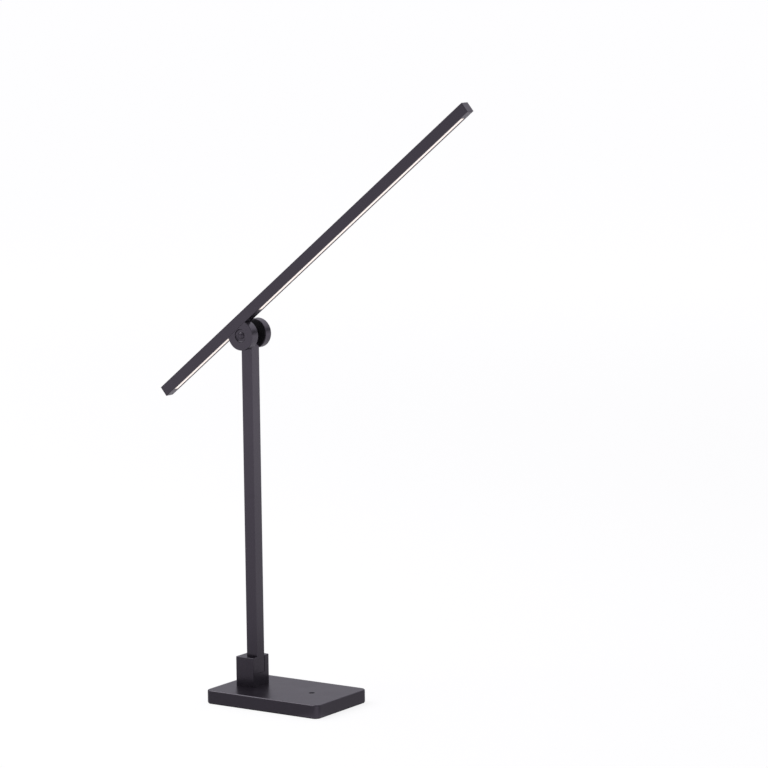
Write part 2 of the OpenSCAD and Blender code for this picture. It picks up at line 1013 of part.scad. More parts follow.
// A row of light-emitting packages on the board, at an even pitch and centred
module led_row(x0, x1) {
    count = floor((x1 - x0 - led_l - 2 * board_end_gap) / led_pitch);
    mid = (x0 + x1) / 2;
    for (i = [0 : count - 1])
        translate([
            mid + (i - (count - 1) / 2) * led_pitch,
            bar_mid_y,
            channel_roof - board_t - led_t / 2
        ])
            cube([led_l, led_w, led_t], center = true);
}

module led_board_long() {
    color(board_white)
        at_bar()
            led_board(long_x0, long_x1);
}

module led_board_short() {
    color(board_white)
        at_bar()
            led_board(short_x0, short_x1);
}

module leds_long() {
    color(led_yellow)
        at_bar()
            led_row(long_x0, long_x1);
}

module leds_short() {
    color(led_yellow)
        at_bar()
            led_row(short_x0, short_x1);
}

module diffuser(x0, x1) {
    along_bar(x0 + slide_fit, x1 - slide_fit)
        mouth_section(diffuser_recess);
}

module diffuser_long() {
    color(opal)
        at_bar()
            diffuser(long_x0, long_x1);
}

module diffuser_short() {
    color(opal)
        at_bar()
            diffuser(short_x0, short_x1);
}

module bar_lead() {
    color(lead_black)
        at_bar()
            translate([short_x1 - bar_lead_l, bar_lead_y, bar_lead_z])
                rotate([0, 90, 0])
                    cylinder(r = thin_lead_r, h = long_x0 - short_x1 + 2 * bar_lead_l);
}

// ---- Tilt hinge ----

// Bolt with a domed head in the counterbore, and a long shank through both discs and the post head
module tilt_bolt() {
    seat_y = bar_front + head_recess_depth;
    dome_r = (head_r * head_r + head_crown * head_crown) / (2 * head_crown);
    color(charcoal)
        at_bar() {
            intersection() {
                rod_y(head_r, seat_y - head_h, seat_y);
                translate([0, seat_y - head_h + dome_r, 0])
                    sphere(dome_r, $fn = 128);
            }
            rod_y(pivot_r, seat_y - head_h / 2, rear_back - rear_cap_t - 0.2);
        }
}

module tilt_pad_front() {
    color(black_plastic)
        at_bar()
            ring_y(
                pad_front_r, pivot_bore_r,
                lug_back + pad_proud - pad_t_tilt, lug_back + pad_proud
            );
}

module tilt_pad_rear() {
    color(black_plastic)
        at_bar()
            ring_y(
                pad_rear_r, pivot_bore_r,
                rear_front - pad_proud, rear_front - pad_proud + pad_t_tilt
            );
}

module rear_disc() {
    color(charcoal)
        at_bar()
            difference() {
                bevelled_disc_y(disc_r, rear_front, rear_back, disc_bevel);
                rod_y(pivot_bore_r, rear_front - past, rear_back + past);
                rod_y(
                    pad_rear_r + screw_fit,
                    rear_front - past, rear_front - pad_proud + pad_t_tilt
                );
                rod_y(rear_recess_r, rear_seat, rear_back + past);
            }
}

module tilt_disc_springs() {
    color(steel)
        at_bar() {
            disc_spring_y(spring_r, pivot_bore_r, rear_seat, spring_h, spring_t);
            translate([0, 2 * rear_seat + spring_stack, 0])
                mirror([0, 1, 0])
                    disc_spring_y(spring_r, pivot_bore_r, rear_seat, spring_h, spring_t);
        }
}

module tilt_lock_nut() {
    nut_y = rear_seat + spring_stack;
    color(steel)
        at_bar()
            difference() {
                translate([0, nut_y, 0])
                    rotate([-90, 0, 0])
                        cylinder(r = nut_r, h = nut_h, $fn = 6);
                rod_y(pivot_bore_r, nut_y - past, nut_y + nut_h + past);
            }
}

module rear_pivot_cap() {
    color(black_plastic)
        at_bar()
            rod_y(rear_recess_r - screw_fit, rear_back - rear_cap_t, rear_back);
}

// ---- The lamp ----

base_housing();
base_weight();
bottom_cover();
bottom_cover_screws();
base_pad();
touch_button();
touch_electrode();
touch_board();
driver_board();
power_inlet();
base_leads();
hinge_block();
hinge_block_screws();
fold_bolt();
fold_friction_washers();
fold_disc_spring();
fold_bolt_cap();
post_tube();
foot_knuckle();
head_knuckle();
post_grub_screws();
post_lead();
bar_channel();
bar_lug();
lug_screws();
end_cap_upper();
end_cap_lower();
led_board_long();
led_board_short();
leds_long();
leds_short();
diffuser_long();
diffuser_short();
bar_lead();
tilt_bolt();
tilt_pad_front();
tilt_pad_rear();
rear_disc();
tilt_disc_springs();
tilt_lock_nut();
rear_pivot_cap();
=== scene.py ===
import json
from math import asin, cos, degrees, pi, radians, sin

import bmesh
import bpy
from mathutils import Matrix, Vector


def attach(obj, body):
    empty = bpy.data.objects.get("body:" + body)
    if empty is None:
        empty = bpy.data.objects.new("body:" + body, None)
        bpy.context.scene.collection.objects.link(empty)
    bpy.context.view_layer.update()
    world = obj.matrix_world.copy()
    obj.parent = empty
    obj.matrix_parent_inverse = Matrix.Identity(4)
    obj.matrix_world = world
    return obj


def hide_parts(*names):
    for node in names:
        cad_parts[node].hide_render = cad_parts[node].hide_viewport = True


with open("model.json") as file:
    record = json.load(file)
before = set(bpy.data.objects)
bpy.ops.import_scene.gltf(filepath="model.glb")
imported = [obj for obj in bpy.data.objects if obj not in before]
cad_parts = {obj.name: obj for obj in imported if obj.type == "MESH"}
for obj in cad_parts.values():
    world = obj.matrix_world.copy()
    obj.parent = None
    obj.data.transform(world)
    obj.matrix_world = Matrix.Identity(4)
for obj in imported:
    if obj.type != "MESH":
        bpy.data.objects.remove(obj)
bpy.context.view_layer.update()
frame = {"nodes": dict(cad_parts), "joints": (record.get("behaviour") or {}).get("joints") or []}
nodes = frame["nodes"]

# ---- Camera ----
# A long lens about four metres away, a little above the lamp and well to its right. It is rolled by under a
# degree, as a camera levelled by hand is.

camera_data = bpy.data.cameras.new("camera")
camera_data.sensor_width = 36
camera_data.lens = 164.7
camera = bpy.data.objects.new("camera", camera_data)
camera.location = (2.21048, -3.09827, 0.89718)
camera.rotation_euler = (radians(81.892), radians(0.681), radians(33.718))
bpy.context.scene.collection.objects.link(camera)
bpy.context.scene.camera = camera

# ---- Studio ----
# A room with a pale ceiling, a pale wall behind the lamp with a band of daylight across it, a pale wall to the
# front right and dim ones between, and two large soft lamps overhead. The plain white floor keeps a faint
# shadow. In reflections the floor carries painted shade close round the lamp and a painted brighter patch at the
# front right.

bpy.context.scene.view_settings.view_transform = "Standard"


def add(tree, kind, inputs=None, **settings):
    """A node with these settings. An input's value is a number, a colour or a socket to link from."""
    node = tree.nodes.new(kind)
    for key, value in settings.items():
        setattr(node, key, value)
    for key, value in (inputs or {}).items():
        if isinstance(value, bpy.types.NodeSocket):
            tree.links.new(value, node.inputs[key])
        else:
            node.inputs[key].default_value = value
    return node


def fade(tree, value, start, end, before, after):
    """Smooth change from one level to another while a value goes from start to end"""
    return add(
        tree, "ShaderNodeMapRange",
        {"Value": value, "From Min": start, "From Max": end, "To Min": before, "To Max": after},
        interpolation_type="SMOOTHSTEP",
    ).outputs[0]


def along(tree, vector, direction):
    """Length of a vector's part in a direction"""
    return add(
        tree, "ShaderNodeVectorMath", {0: vector, 1: direction}, operation="DOT_PRODUCT"
    ).outputs["Value"]


world = bpy.data.worlds.new("studio")
world.use_nodes = True
bpy.context.scene.world = world
room = world.node_tree
ceiling, back_wall, side_wall, front_wall, horizon, daylight = 0.55, 0.33, 0.07, 0.5, 0.6, 0.5
to_back_wall, to_front_wall = (-0.58, 0.81, 0), (0.82, -0.55, 0)
away = add(room, "ShaderNodeTexCoord").outputs["Generated"]
away_parts = add(room, "ShaderNodeSeparateXYZ", {"Vector": away}).outputs
height = away_parts["Z"]
front_or_side = fade(room, along(room, away, to_front_wall), 0.75, 0.92, side_wall, front_wall)
round_wall = fade(room, along(room, away, to_back_wall), 0.3, 0.85, front_or_side, back_wall)
over_floor = fade(room, height, 0.07, 0.17, horizon, round_wall)
walls = fade(room, height, 0.2, 0.6, over_floor, ceiling)
over_sill = fade(room, height, 0.26, 0.4, 0.0, daylight)
under_head = fade(room, height, 0.55, 0.8, over_sill, 0.0)
behind = fade(room, away_parts["Y"], 0.35, 0.75, 0.0, under_head)
around = add(room, "ShaderNodeMath", {0: walls, 1: behind}, operation="ADD").outputs[0]
to_camera = add(room, "ShaderNodeLightPath").outputs["Is Camera Ray"]
room_level = add(room, "ShaderNodeMix", {"Factor": to_camera, "A": around, "B": 1.0})
room_colour = add(
    room, "ShaderNodeMix", {"Factor": to_camera, "A": (0.985, 0.955, 1.06, 1), "B": (1, 1, 1, 1)},
    data_type="RGBA",
)
room.links.new(room_colour.outputs["Result"], room.nodes["Background"].inputs["Color"])
room.links.new(room_level.outputs["Result"], room.nodes["Background"].inputs["Strength"])

aim = Vector((0, 0, 0.2))
for name, place, size, power in (
    ("right_lamp", (2.6, -0.9, 2.4), 1.6, 4), ("left_lamp", (-1.65, -0.66, 2.5), 2.6, 55),
):
    lamp_data = bpy.data.lights.new(name, "AREA")
    lamp_data.shape = "SQUARE"
    lamp_data.size, lamp_data.energy = size, power
    lamp = bpy.data.objects.new(name, lamp_data)
    lamp.location = place
    lamp.rotation_euler = (aim - lamp.location).to_track_quat("-Z", "Y").to_euler()
    bpy.context.scene.collection.objects.link(lamp)

floor_material = bpy.data.materials.new("floor")
floor_material.use_nodes = True
tree = floor_material.node_tree
tree.nodes.clear()
floor_grain = add(tree, "ShaderNodeTexNoise", {"Scale": 3.0, "Detail": 4.0})
floor_tone = add(
    tree, "ShaderNodeMix",
    {"Factor": floor_grain.outputs["Fac"], "A": (0.86, 0.86, 0.86, 1), "B": (0.9, 0.9, 0.9, 1)},
    data_type="RGBA",
)
paper = add(tree, "ShaderNodeBsdfDiffuse", {"Color": floor_tone.outputs["Result"]})

# What gloss sees of the floor is painted light and shade: a level for each distance from the lamp in metres,
# painted darker close round the lamp's foot and painted brighter at the front right
spread = 5
levels = (
    (0, 0.44), (0.2, 0.40), (0.5, 0.72), (1.0, 0.72), (1.9, 1.00), (2.7, 1.08), (4.0, 0.96), (spread, 0.88),
)
spot = add(tree, "ShaderNodeTexCoord").outputs["Object"]
distance = add(tree, "ShaderNodeVectorMath", {0: spot}, operation="LENGTH").outputs["Value"]
share_of_spread = add(tree, "ShaderNodeMath", {0: distance, 1: 1 / spread}, operation="MULTIPLY")
# Painted shade: this ramp darkens the floor's reflection close round the lamp
painted_shade_ramp = add(tree, "ShaderNodeValToRGB", {0: share_of_spread.outputs[0]})
stops = painted_shade_ramp.color_ramp.elements
for metres, level in levels[1:-1]:
    stops.new(metres / spread)
for stop, (metres, level) in zip(stops, levels):
    stop.color = (level, 0.955 * level, 1.045 * level, 1)
bearing = add(tree, "ShaderNodeVectorMath", {0: spot}, operation="NORMALIZE").outputs[0]
# Painted light: the floor's reflection is made up to twice as bright towards the front right
painted_bright_side = fade(tree, along(tree, bearing, to_front_wall), 0.93, 0.99, 1.0, 2.0)
evened = fade(tree, along(tree, bearing, (0.55, 0.83, 0)), 0.4, 0.9, painted_bright_side, 0.97)
around_lamp = add(
    tree, "ShaderNodeVectorMath", {0: painted_shade_ramp.outputs["Color"], "Scale": evened}, operation="SCALE"
)

# Straight from the camera the floor is white, apart from a share of its own shaded surface
path = add(tree, "ShaderNodeLightPath").outputs
in_view_level = fade(tree, distance, 1.2, 4.5, 1.06, 1.14)
floor_level = add(
    tree, "ShaderNodeMix",
    {"Factor": path["Is Glossy Ray"], "A": in_view_level, "B": around_lamp.outputs[0]}, data_type="RGBA",
)
white = add(tree, "ShaderNodeEmission", {"Color": floor_level.outputs["Result"]})
in_view_share = add(tree, "ShaderNodeMath", {0: path["Is Camera Ray"], 1: 0.78}, operation="MULTIPLY")
in_gloss = add(
    tree, "ShaderNodeMath", {0: path["Is Glossy Ray"], 1: path["Is Transmission Ray"]}, operation="MAXIMUM"
)
share = add(
    tree, "ShaderNodeMath", {0: in_view_share.outputs[0], 1: in_gloss.outputs[0]}, operation="MAXIMUM"
)
mixed = add(
    tree, "ShaderNodeMixShader", {0: share.outputs[0], 1: paper.outputs[0], 2: white.outputs[0]}
)
# From below, the floor is clear
under = add(
    tree, "ShaderNodeMixShader",
    {
        0: add(tree, "ShaderNodeNewGeometry").outputs["Backfacing"],
        1: mixed.outputs[0],
        2: add(tree, "ShaderNodeBsdfTransparent").outputs[0],
    },
)
add(tree, "ShaderNodeOutputMaterial", {"Surface": under.outputs[0]})

floor_half, under_pad = 40, 0.0002
floor_mesh = bpy.data.meshes.new("floor")
bm = bmesh.new()
bmesh.ops.create_grid(bm, x_segments=1, y_segments=1, size=floor_half)
bm.to_mesh(floor_mesh)
bm.free()
floor_mesh.materials.append(floor_material)
floor = bpy.data.objects.new("floor", floor_mesh)
floor.location.z = -under_pad
bpy.context.scene.collection.objects.link(floor)

# ---- Base shell ----
# Pressure die cast shell, open below, with a rounded upper edge. It is powder coated in satin charcoal,
# a fine even grain that is rubbed a little thinner along the edges.

# Places: outlines are drawn in millimetres in U and V and raised along H
upright = Matrix.Scale(0.001, 4)
across = Matrix(((1, 0, 0, 0), (0, 0, 1, 0), (0, 1, 0, 0), (0, 0, 0, 1)))
lengthways = Matrix(((0, 0, 1, 0), (1, 0, 0, 0), (0, 1, 0, 0), (0, 0, 0, 1)))


def extent(node, place):
    """Lowest and highest corner of a CAD node in a place's own millimetres"""
    back = place.inverted()
    points = [back @ v.co for v in nodes[node].data.vertices]
    return [min(p[i] for p in points) for i in range(3)], [max(p[i] for p in points) for i in range(3)]


def rounded_outline(half_u, half_v, r, steps=6):
    """Rounded rectangle round the origin, counter-clockwise"""
    turns = ((1, 1, 0), (-1, 1, 90), (-1, -1, 180), (1, -1, 270))
    return [
        (
            su * (half_u - r) + r * cos(radians(start + 90 * i / steps)),
            sv * (half_v - r) + r * sin(radians(start + 90 * i / steps)),
        )
        for su, sv, start in turns
        for i in range(steps + 1)
    ]


def inset(outline, depth):
    """A counter-clockwise outline moved inwards"""
    moved = []
    for i, (u, v) in enumerate(outline):
        before, after = outline[i - 1], outline[(i + 1) % len(outline)]
        n0 = Vector((before[1] - v, u - before[0])).normalized()
        n1 = Vector((v - after[1], after[0] - u)).normalized()
        mitre = (n0 + n1) / (1 + n0.dot(n1))
        moved.append((u + depth * mitre.x, v + depth * mitre.y))
    return moved


def ring(place, outline, h, depth=0.0):
    """An outline at height h, inset by depth, as points in the frame"""
    return [place @ Vector((u, v, h)) for u, v in (inset(outline, depth) if depth else outline)]


def rounded_levels(h0, h1, r0, r1, steps=4):
    """Heights and insets from h0 to h1, with the two ends rounded"""
    quarter = [radians(90 * i / steps) for i in range(steps + 1)]
    low = [(h0 + r0 * (1 - cos(a)), r0 * (1 - sin(a))) for a in quarter] if r0 else [(h0, 0)]
    high = [(h1 - r1 * (1 - cos(a)), r1 * (1 - sin(a))) for a in quarter[::-1]] if r1 else [(h1, 0)]
    return low + high


def skin(bm, rings, closed=False):
    """Faces from ring to ring; the two ends are capped, or joined to each other when closed"""
    loops = [[bm.verts.new(p) for p in points] for points in rings]
    for a, b in list(zip(loops, loops[1:])) + ([(loops[-1], loops[0])] if closed else []):
        for i in range(len(a)):
            bm.faces.new((a[i - 1], a[i], b[i], b[i - 1]))
    if not closed:
        bm.faces.new(loops[0])
        bm.faces.new(loops[-1])


def prism(bm, place, outline, levels):
    """A solid of one outline, with an inset at each of its (height, inset) levels"""
    skin(bm, [ring(place, outline, h, depth) for h, depth in levels])


def lathe(bm, place, profile, count=96, closed=False):
    """A profile of (radius, height) turned round the place's H axis"""
    turn = [(cos(2 * pi * i / count), sin(2 * pi * i / count)) for i in range(count)]
    skin(bm, [[place @ Vector((r * c, r * s, h)) for c, s in turn] for r, h in profile], closed)


def carve(body, tool):
    """A new mesh: the body with the tool taken out of it"""
    pair = []
    for mesh_code in (body, tool):
        bmesh.ops.recalc_face_normals(mesh_code, faces=mesh_code.faces)
        mesh = bpy.data.meshes.new("carving")
        mesh_code.to_mesh(mesh)
        mesh_code.free()
        pair.append(bpy.data.objects.new("carving", mesh))
        bpy.context.scene.collection.objects.link(pair[-1])
    cut = pair[0].modifiers.new("cut", "BOOLEAN")
    cut.object, cut.operation, cut.solver, cut.use_self = pair[1], "DIFFERENCE", "EXACT", True
    carved = bmesh.new()
    carved.from_mesh(pair[0].evaluated_get(bpy.context.evaluated_depsgraph_get()).to_mesh())
    for obj in pair:
        mesh = obj.data
        bpy.data.objects.remove(obj)
        bpy.data.meshes.remove(mesh)
    return carved


def piece(name, bm, body, slot, material, *stands_for):
    """Turns mesh code into a piece that rides on a body and stands for CAD nodes"""
    crease = radians(35)
    bmesh.ops.recalc_face_normals(bm, faces=bm.faces)
    for face in bm.faces:
        face.smooth = True
    for edge in bm.edges:
        edge.smooth = len(edge.link_faces) == 2 and edge.calc_face_angle() < crease
    mesh = bpy.data.meshes.new(name)
    bm.to_mesh(mesh)
    bm.free()
    mesh.materials.append(material)
    obj = bpy.data.objects.new(name, mesh)
    bpy.context.scene.collection.objects.link(obj)
    even = obj.modifiers.new("even_shading", "WEIGHTED_NORMAL")
    even.keep_sharp = True
    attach(obj, body)
    if stands_for:
        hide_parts(*stands_for)
    return obj


def node_group(name, inputs, outputs):
    """An empty shader group. Inputs are (name, kind, value), outputs (name, kind)."""
    group = bpy.data.node_groups.new(name, "ShaderNodeTree")
    for label, kind, value in inputs:
        group.interface.new_socket(label, in_out="INPUT", socket_type=kind).default_value = value
    for label, kind in outputs:
        group.interface.new_socket(label, in_out="OUTPUT", socket_type=kind)
    return group, group.nodes.new("NodeGroupInput").outputs, group.nodes.new("NodeGroupOutput").inputs


def inverse(tree, size):
    """Noise scale for a grain of this size"""
    return add(tree, "ShaderNodeMath", {0: 1.0, 1: size}, operation="DIVIDE").outputs[0]


# Grain that every finish here has: a fine relief, and clouds of colour and roughness on a larger scale
fine_grain, given, put = node_group(
    "fine_grain",
    [
        ("Grain Size", "NodeSocketFloat", 0.0004), ("Cloud Size", "NodeSocketFloat", 0.02),
        ("Dark", "NodeSocketColor", (0, 0, 0, 1)), ("Light", "NodeSocketColor", (1, 1, 1, 1)),
        ("Smooth", "NodeSocketFloat", 0.3), ("Rough", "NodeSocketFloat", 0.4),
    ],
    [("Colour", "NodeSocketColor"), ("Roughness", "NodeSocketFloat"), ("Height", "NodeSocketFloat")],
)
spot = add(fine_grain, "ShaderNodeTexCoord").outputs["Object"]
grain = add(
    fine_grain, "ShaderNodeTexNoise",
    {"Vector": spot, "Scale": inverse(fine_grain, given["Grain Size"]), "Detail": 3.0, "Roughness": 0.6},
)
cloud = add(
    fine_grain, "ShaderNodeTexNoise",
    {"Vector": spot, "Scale": inverse(fine_grain, given["Cloud Size"]), "Detail": 4.0},
)
grain_share = 0.35
clouded = add(
    fine_grain, "ShaderNodeMath", {0: cloud.outputs["Fac"], 1: 1 - grain_share}, operation="MULTIPLY"
)
speckle = add(
    fine_grain, "ShaderNodeMath",
    {0: grain.outputs["Fac"], 1: grain_share, 2: clouded.outputs[0]}, operation="MULTIPLY_ADD",
)
tone = add(
    fine_grain, "ShaderNodeMix",
    {"Factor": speckle.outputs[0], "A": given["Dark"], "B": given["Light"]}, data_type="RGBA",
)
gloss = add(
    fine_grain, "ShaderNodeMapRange",
    {
        "Value": cloud.outputs["Fac"], "From Min": 0.3, "From Max": 0.7,
        "To Min": given["Smooth"], "To Max": given["Rough"],
    },
)
fine_grain.links.new(tone.outputs["Result"], put["Colour"])
fine_grain.links.new(gloss.outputs[0], put["Roughness"])
fine_grain.links.new(grain.outputs["Fac"], put["Height"])

# Where hands and cloths have rubbed the edges: the bent normal of a rounded copy, broken up by patches
edge_wear, given, put = node_group(
    "edge_wear",
    [
        ("Reach", "NodeSocketFloat", 0.0008), ("Patch Size", "NodeSocketFloat", 0.006),
        ("Amount", "NodeSocketFloat", 0.5),
    ],
    [("Mask", "NodeSocketFloat")],
)
bent = add(edge_wear, "ShaderNodeBevel", {"Radius": given["Reach"]}, samples=4)
straight = add(edge_wear, "ShaderNodeNewGeometry")
likeness = add(
    edge_wear, "ShaderNodeVectorMath",
    {0: bent.outputs[0], 1: straight.outputs["Normal"]}, operation="DOT_PRODUCT",
)
edge = add(
    edge_wear, "ShaderNodeMapRange",
    {"Value": likeness.outputs["Value"], "From Min": 1.0, "From Max": 0.88, "To Min": 0.0, "To Max": 1.0},
)
patch = add(
    edge_wear, "ShaderNodeTexNoise",
    {
        "Vector": add(edge_wear, "ShaderNodeTexCoord").outputs["Object"],
        "Scale": inverse(edge_wear, given["Patch Size"]), "Detail": 5.0,
    },
)
broken = add(
    edge_wear, "ShaderNodeMapRange", {"Value": patch.outputs["Fac"], "From Min": 0.42, "From Max": 0.62}
)
rubbed = add(edge_wear, "ShaderNodeMath", {0: edge.outputs[0], 1: broken.outputs[0]}, operation="MULTIPLY")
amount = add(edge_wear, "ShaderNodeMath", {0: rubbed.outputs[0], 1: given["Amount"]}, operation="MULTIPLY")
edge_wear.links.new(amount.outputs[0], put["Mask"])


def finish(name, dark, light, smooth, rough, grain=0.0004, cloud=0.02, relief=0.00002, worn=None, **sockets):
    """Grained material. worn is the rubbed edges' colour and amount; sockets are the shader's own values."""
    material = bpy.data.materials.new(name)
    material.use_nodes = True
    tree = material.node_tree
    shader = tree.nodes["Principled BSDF"]
    for key, value in sockets.items():
        shader.inputs[key.replace("_", " ")].default_value = value
    grained = add(
        tree, "ShaderNodeGroup",
        {
            "Grain Size": grain, "Cloud Size": cloud, "Dark": (*dark, 1), "Light": (*light, 1),
            "Smooth": smooth, "Rough": rough,
        },
        node_tree=fine_grain,
    ).outputs
    colour, roughness = grained["Colour"], grained["Roughness"]
    if worn:
        mask = add(tree, "ShaderNodeGroup", {"Amount": worn[1]}, node_tree=edge_wear).outputs["Mask"]
        colour = add(
            tree, "ShaderNodeMix", {"Factor": mask, "A": colour, "B": (*worn[0], 1)}, data_type="RGBA"
        ).outputs["Result"]
        roughness = add(
            tree, "ShaderNodeMath", {0: mask, 1: -0.08, 2: roughness}, operation="MULTIPLY_ADD"
        ).outputs[0]
    relief_node = add(
        tree, "ShaderNodeBump", {"Height": grained["Height"], "Distance": relief, "Strength": 1.0}
    )
    tree.links.new(colour, shader.inputs["Base Color"])
    tree.links.new(roughness, shader.inputs["Roughness"])
    tree.links.new(relief_node.outputs[0], shader.inputs["Normal"])
    return material


def charcoal(name, smooth, rough, specular):
    """The lamp's paint, over a surface that makes it smoother or coarser"""
    return finish(
        name, (0.0050, 0.0037, 0.0063), (0.0073, 0.0053, 0.0090), smooth, rough,
        grain=0.00045, cloud=0.03, relief=0.000015, worn=((0.030, 0.026, 0.034), 0.3),
        Specular_IOR_Level=specular, Specular_Tint=(0.94, 0.87, 1.0, 1),
    )


cast_paint = charcoal("cast_paint", 0.28, 0.35, 0.86)

low, high = extent("base_housing", upright)
half_l, half_w, base_low, base_top = high[0], high[1], low[2], high[2]
wall, corner_r, edge_r, rim_bevel, corner_steps = 3, 7, 1.5, 0.3, 12
cavity_top = base_top - wall
base_outline = rounded_outline(half_l, half_w, corner_r, corner_steps)
cavity_outline = rounded_outline(half_l - wall, half_w - wall, corner_r - wall, corner_steps)
shell = bmesh.new()
skin(
    shell,
    [
        ring(upright, cavity_outline, cavity_top),
        ring(upright, cavity_outline, base_low + rim_bevel),
        ring(upright, cavity_outline, base_low, -rim_bevel),
    ]
    + [
        ring(upright, base_outline, h, depth)
        for h, depth in rounded_levels(base_low, base_top, rim_bevel, edge_r, 8)
    ],
)
key_low, key_high = extent("touch_button", upright)
key_x, key_r, key_gap = (key_low[0] + key_high[0]) / 2, 3.25, 0.05
inlet_low, inlet_high = extent("power_inlet", upright)
nose_r, nose_gap, inlet_z = 4, 0.05, 7.85
at_key = upright @ Matrix.Translation((key_x, 0, 0))
at_inlet = upright @ Matrix.Translation((0, 0, inlet_z)) @ lengthways
tools = bmesh.new()
lathe(
    tools, at_key,
    [
        (key_r + key_gap, cavity_top - 1), (key_r + key_gap, base_top - 0.4),
        (key_r + 0.18, base_top - 0.13), (key_r + 0.5, base_top + 0.02), (key_r + 0.5, base_top + 1),
    ],
)
lathe(
    tools, at_inlet,
    [
        (nose_r + nose_gap, -half_l + wall + 1), (nose_r + nose_gap, -half_l + 0.2),
        (nose_r + 0.35, -half_l - 0.1), (nose_r + 0.35, -half_l - 1),
    ],
)
piece("base_shell", carve(shell, tools), "base", "charcoal_paint", cast_paint, "base_housing")

# ---- Under and inside the base ----
# A soft foam rubber pad is glued under a steel cover, which four countersunk screws hold. Above it lie the
# cast iron ballast, the driver and touch boards and the leads, all out of sight.

soft_pad = finish(
    "soft_pad", (0.010, 0.010, 0.011), (0.022, 0.022, 0.023), 0.78, 0.92,
    grain=0.0005, cloud=0.012, relief=0.00006, Specular_IOR_Level=0.25,
)
low, high = extent("base_pad", upright)
pad = bmesh.new()
pad_outline = rounded_outline(high[0], high[1], corner_r - 0.8, corner_steps)
prism(pad, upright, pad_outline, rounded_levels(low[2], high[2], 0.15, 0))
piece("foot_pad", pad, "base", "soft_pad", soft_pad, "base_pad")

plain_steel = finish(
    "plain_steel", (0.34, 0.34, 0.35), (0.50, 0.50, 0.51), 0.26, 0.40,
    grain=0.0003, cloud=0.005, relief=0.000006, worn=((0.62, 0.62, 0.63), 0.5), Metallic=1.0,
)
cast_iron = finish(
    "cast_iron", (0.045, 0.045, 0.047), (0.10, 0.10, 0.105), 0.55, 0.75,
    grain=0.0012, cloud=0.008, relief=0.00012, Metallic=0.8,
)
green_board = finish(
    "green_board", (0.010, 0.075, 0.030), (0.016, 0.11, 0.045), 0.30, 0.42,
    grain=0.0006, cloud=0.003, relief=0.00001, Coat_Weight=0.3,
)
lead_jacket = finish(
    "lead_jacket", (0.012, 0.012, 0.012), (0.022, 0.022, 0.022), 0.42, 0.55,
    grain=0.0006, cloud=0.008, relief=0.00002,
)
inner_finishes = {
    "base_weight": cast_iron, "bottom_cover": plain_steel, "bottom_cover_screws": plain_steel,
    "touch_electrode": soft_pad, "touch_board": green_board, "driver_board": green_board,
    "base_leads": lead_jacket, "hinge_block_screws": plain_steel,
}
for name, material in inner_finishes.items():
    nodes[name].material_slots[0].material = material

# ---- Touch key ----
# Small round key of soft black plastic, let in flush with the top of the base. Its face is dished a little
# for the fingertip, and its flange is caught under the shell.

key_plastic = finish(
    "key_plastic", (0.004, 0.004, 0.005), (0.008, 0.008, 0.009), 0.64, 0.76,
    grain=0.0003, cloud=0.004, relief=0.00001, Specular_IOR_Level=0.2,
)
flange_r, key_top, dish, dish_share = key_high[0] - key_x, key_high[2], 0.25, 0.85
key = bmesh.new()
lathe(
    key, at_key,
    [(flange_r, key_low[2]), (flange_r, cavity_top), (key_r, cavity_top)]
    + [(key_r - depth, h) for h, depth in rounded_levels(cavity_top + 0.1, key_top, 0, 0.3)[1:]]
    + [
        (key_r * f, key_top - dish * (1 - (f / dish_share) ** 2)) for f in (0.8, 0.65, 0.5, 0.35, 0.2, 0.08)
    ],
)
piece("touch_key", key, "base", "black_plastic", key_plastic, "touch_button")

# ---- Power inlet ----
# Moulded low-voltage socket behind the short end of the base. Its round nose comes through the wall, and a
# plated pin stands in the middle of the bore.

black_plastic = finish(
    "black_plastic", (0.0035, 0.0032, 0.0042), (0.0065, 0.0060, 0.0076), 0.42, 0.54,
    grain=0.0005, cloud=0.006, relief=0.000012, worn=((0.02, 0.02, 0.022), 0.4), Specular_IOR_Level=0.35,
)
nose_x, back_x, nose_set_in = inlet_low[0], inlet_high[0], 0.2
bore_r, bore_depth, pin_r, pin_set_in = 2.85, 9.5, 1, 1.5
bore_floor = nose_x - nose_set_in + bore_depth
socket = bmesh.new()
lathe(
    socket, at_inlet,
    [
        (0.2, bore_floor), (bore_r, bore_floor), (bore_r, nose_x + 0.35), (bore_r + 0.1, nose_x + 0.1),
        (bore_r + 0.35, nose_x), (nose_r - 0.25, nose_x), (nose_r - 0.07, nose_x + 0.07),
        (nose_r, nose_x + 0.25), (nose_r, back_x), (0.2, back_x),
    ],
)
piece("inlet_socket", socket, "base", "black_plastic", black_plastic, "power_inlet")
pin_x = nose_x - nose_set_in + pin_set_in
pin = bmesh.new()
lathe(
    pin, at_inlet,
    [(0.15, pin_x), (0.55, pin_x + 0.08), (0.85, pin_x + 0.3), (pin_r, pin_x + 0.7), (pin_r, bore_floor + 0.5)],
    count=32,
)
piece("inlet_pin", pin, "base", "plain_steel", plain_steel)

# ---- Hinge block ----
# Clevis milled from solid, powder coated and screwed down from inside the base. The post folds in its slot,
# which is open above and towards the long end; a cap closes the bolt's recess in the rear cheek.

